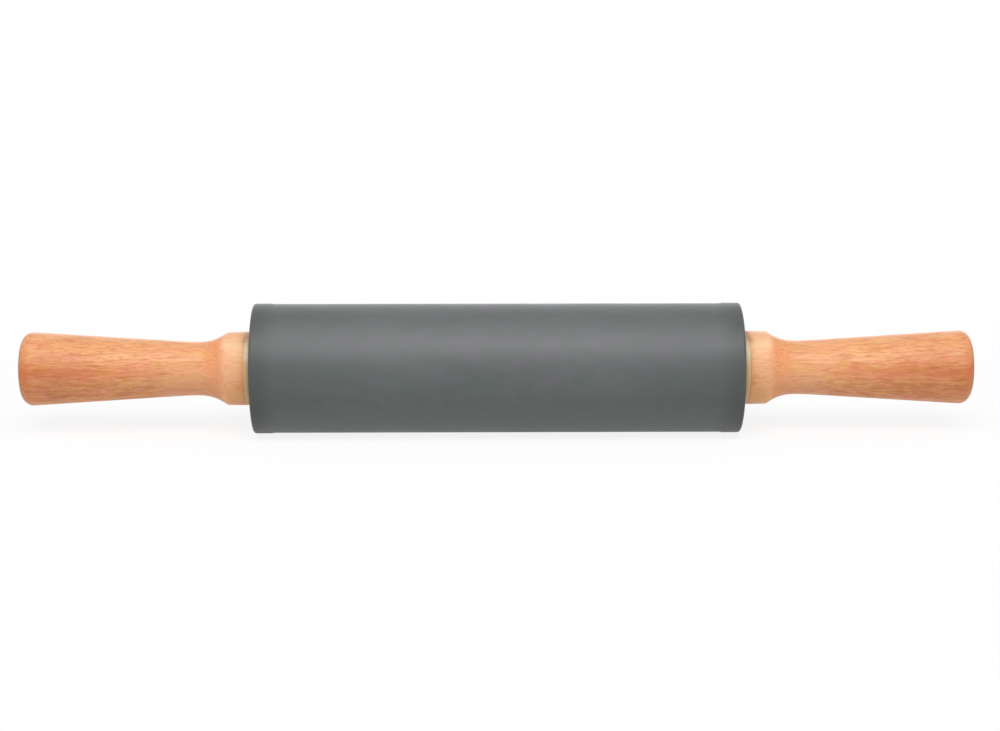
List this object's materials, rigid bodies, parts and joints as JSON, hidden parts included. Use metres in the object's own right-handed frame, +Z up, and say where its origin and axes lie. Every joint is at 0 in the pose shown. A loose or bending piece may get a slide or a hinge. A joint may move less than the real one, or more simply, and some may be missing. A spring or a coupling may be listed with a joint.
{
  "type": "rolling pin",
  "caption": "Silicone-sleeved rolling pin: a grey roller spins on a steel axle between two turned wooden handles with coved necks.",
  "frame": {"origin": "on the surface that the roller rests on, straight below the middle of the pin", "axes": "+X along the pin from the left handle to the right one, +Z up"},
  "size_m": [0.38, 0.0522, 0.0521],
  "materials": {
    "silicone": "matte",
    "handle_wood": "satin",
    "core_wood": "matte",
    "nylon": "satin",
    "axle_steel": "satin",
    "washer_steel": "satin",
    "insert_metal": "satin"
  },
  "bodies": {
    "handles": {"handle_left": "handle_wood", "handle_right": "handle_wood", "axle_rod": "axle_steel", "thrust_washer_left": "washer_steel", "thrust_washer_right": "washer_steel", "threaded_insert_left": "insert_metal", "threaded_insert_right": "insert_metal"},
    "roller": {"silicone_sleeve": "silicone", "roller_core": "core_wood", "bush_left": "nylon", "bush_right": "nylon"}
  },
  "joints": [
    {"name": "roller_spin", "type": "hinge", "parent": "handles", "child": "roller", "pos_m": [0, 0, 0.02607], "axis": [1, 0, 0], "continuous": true}
  ]
}
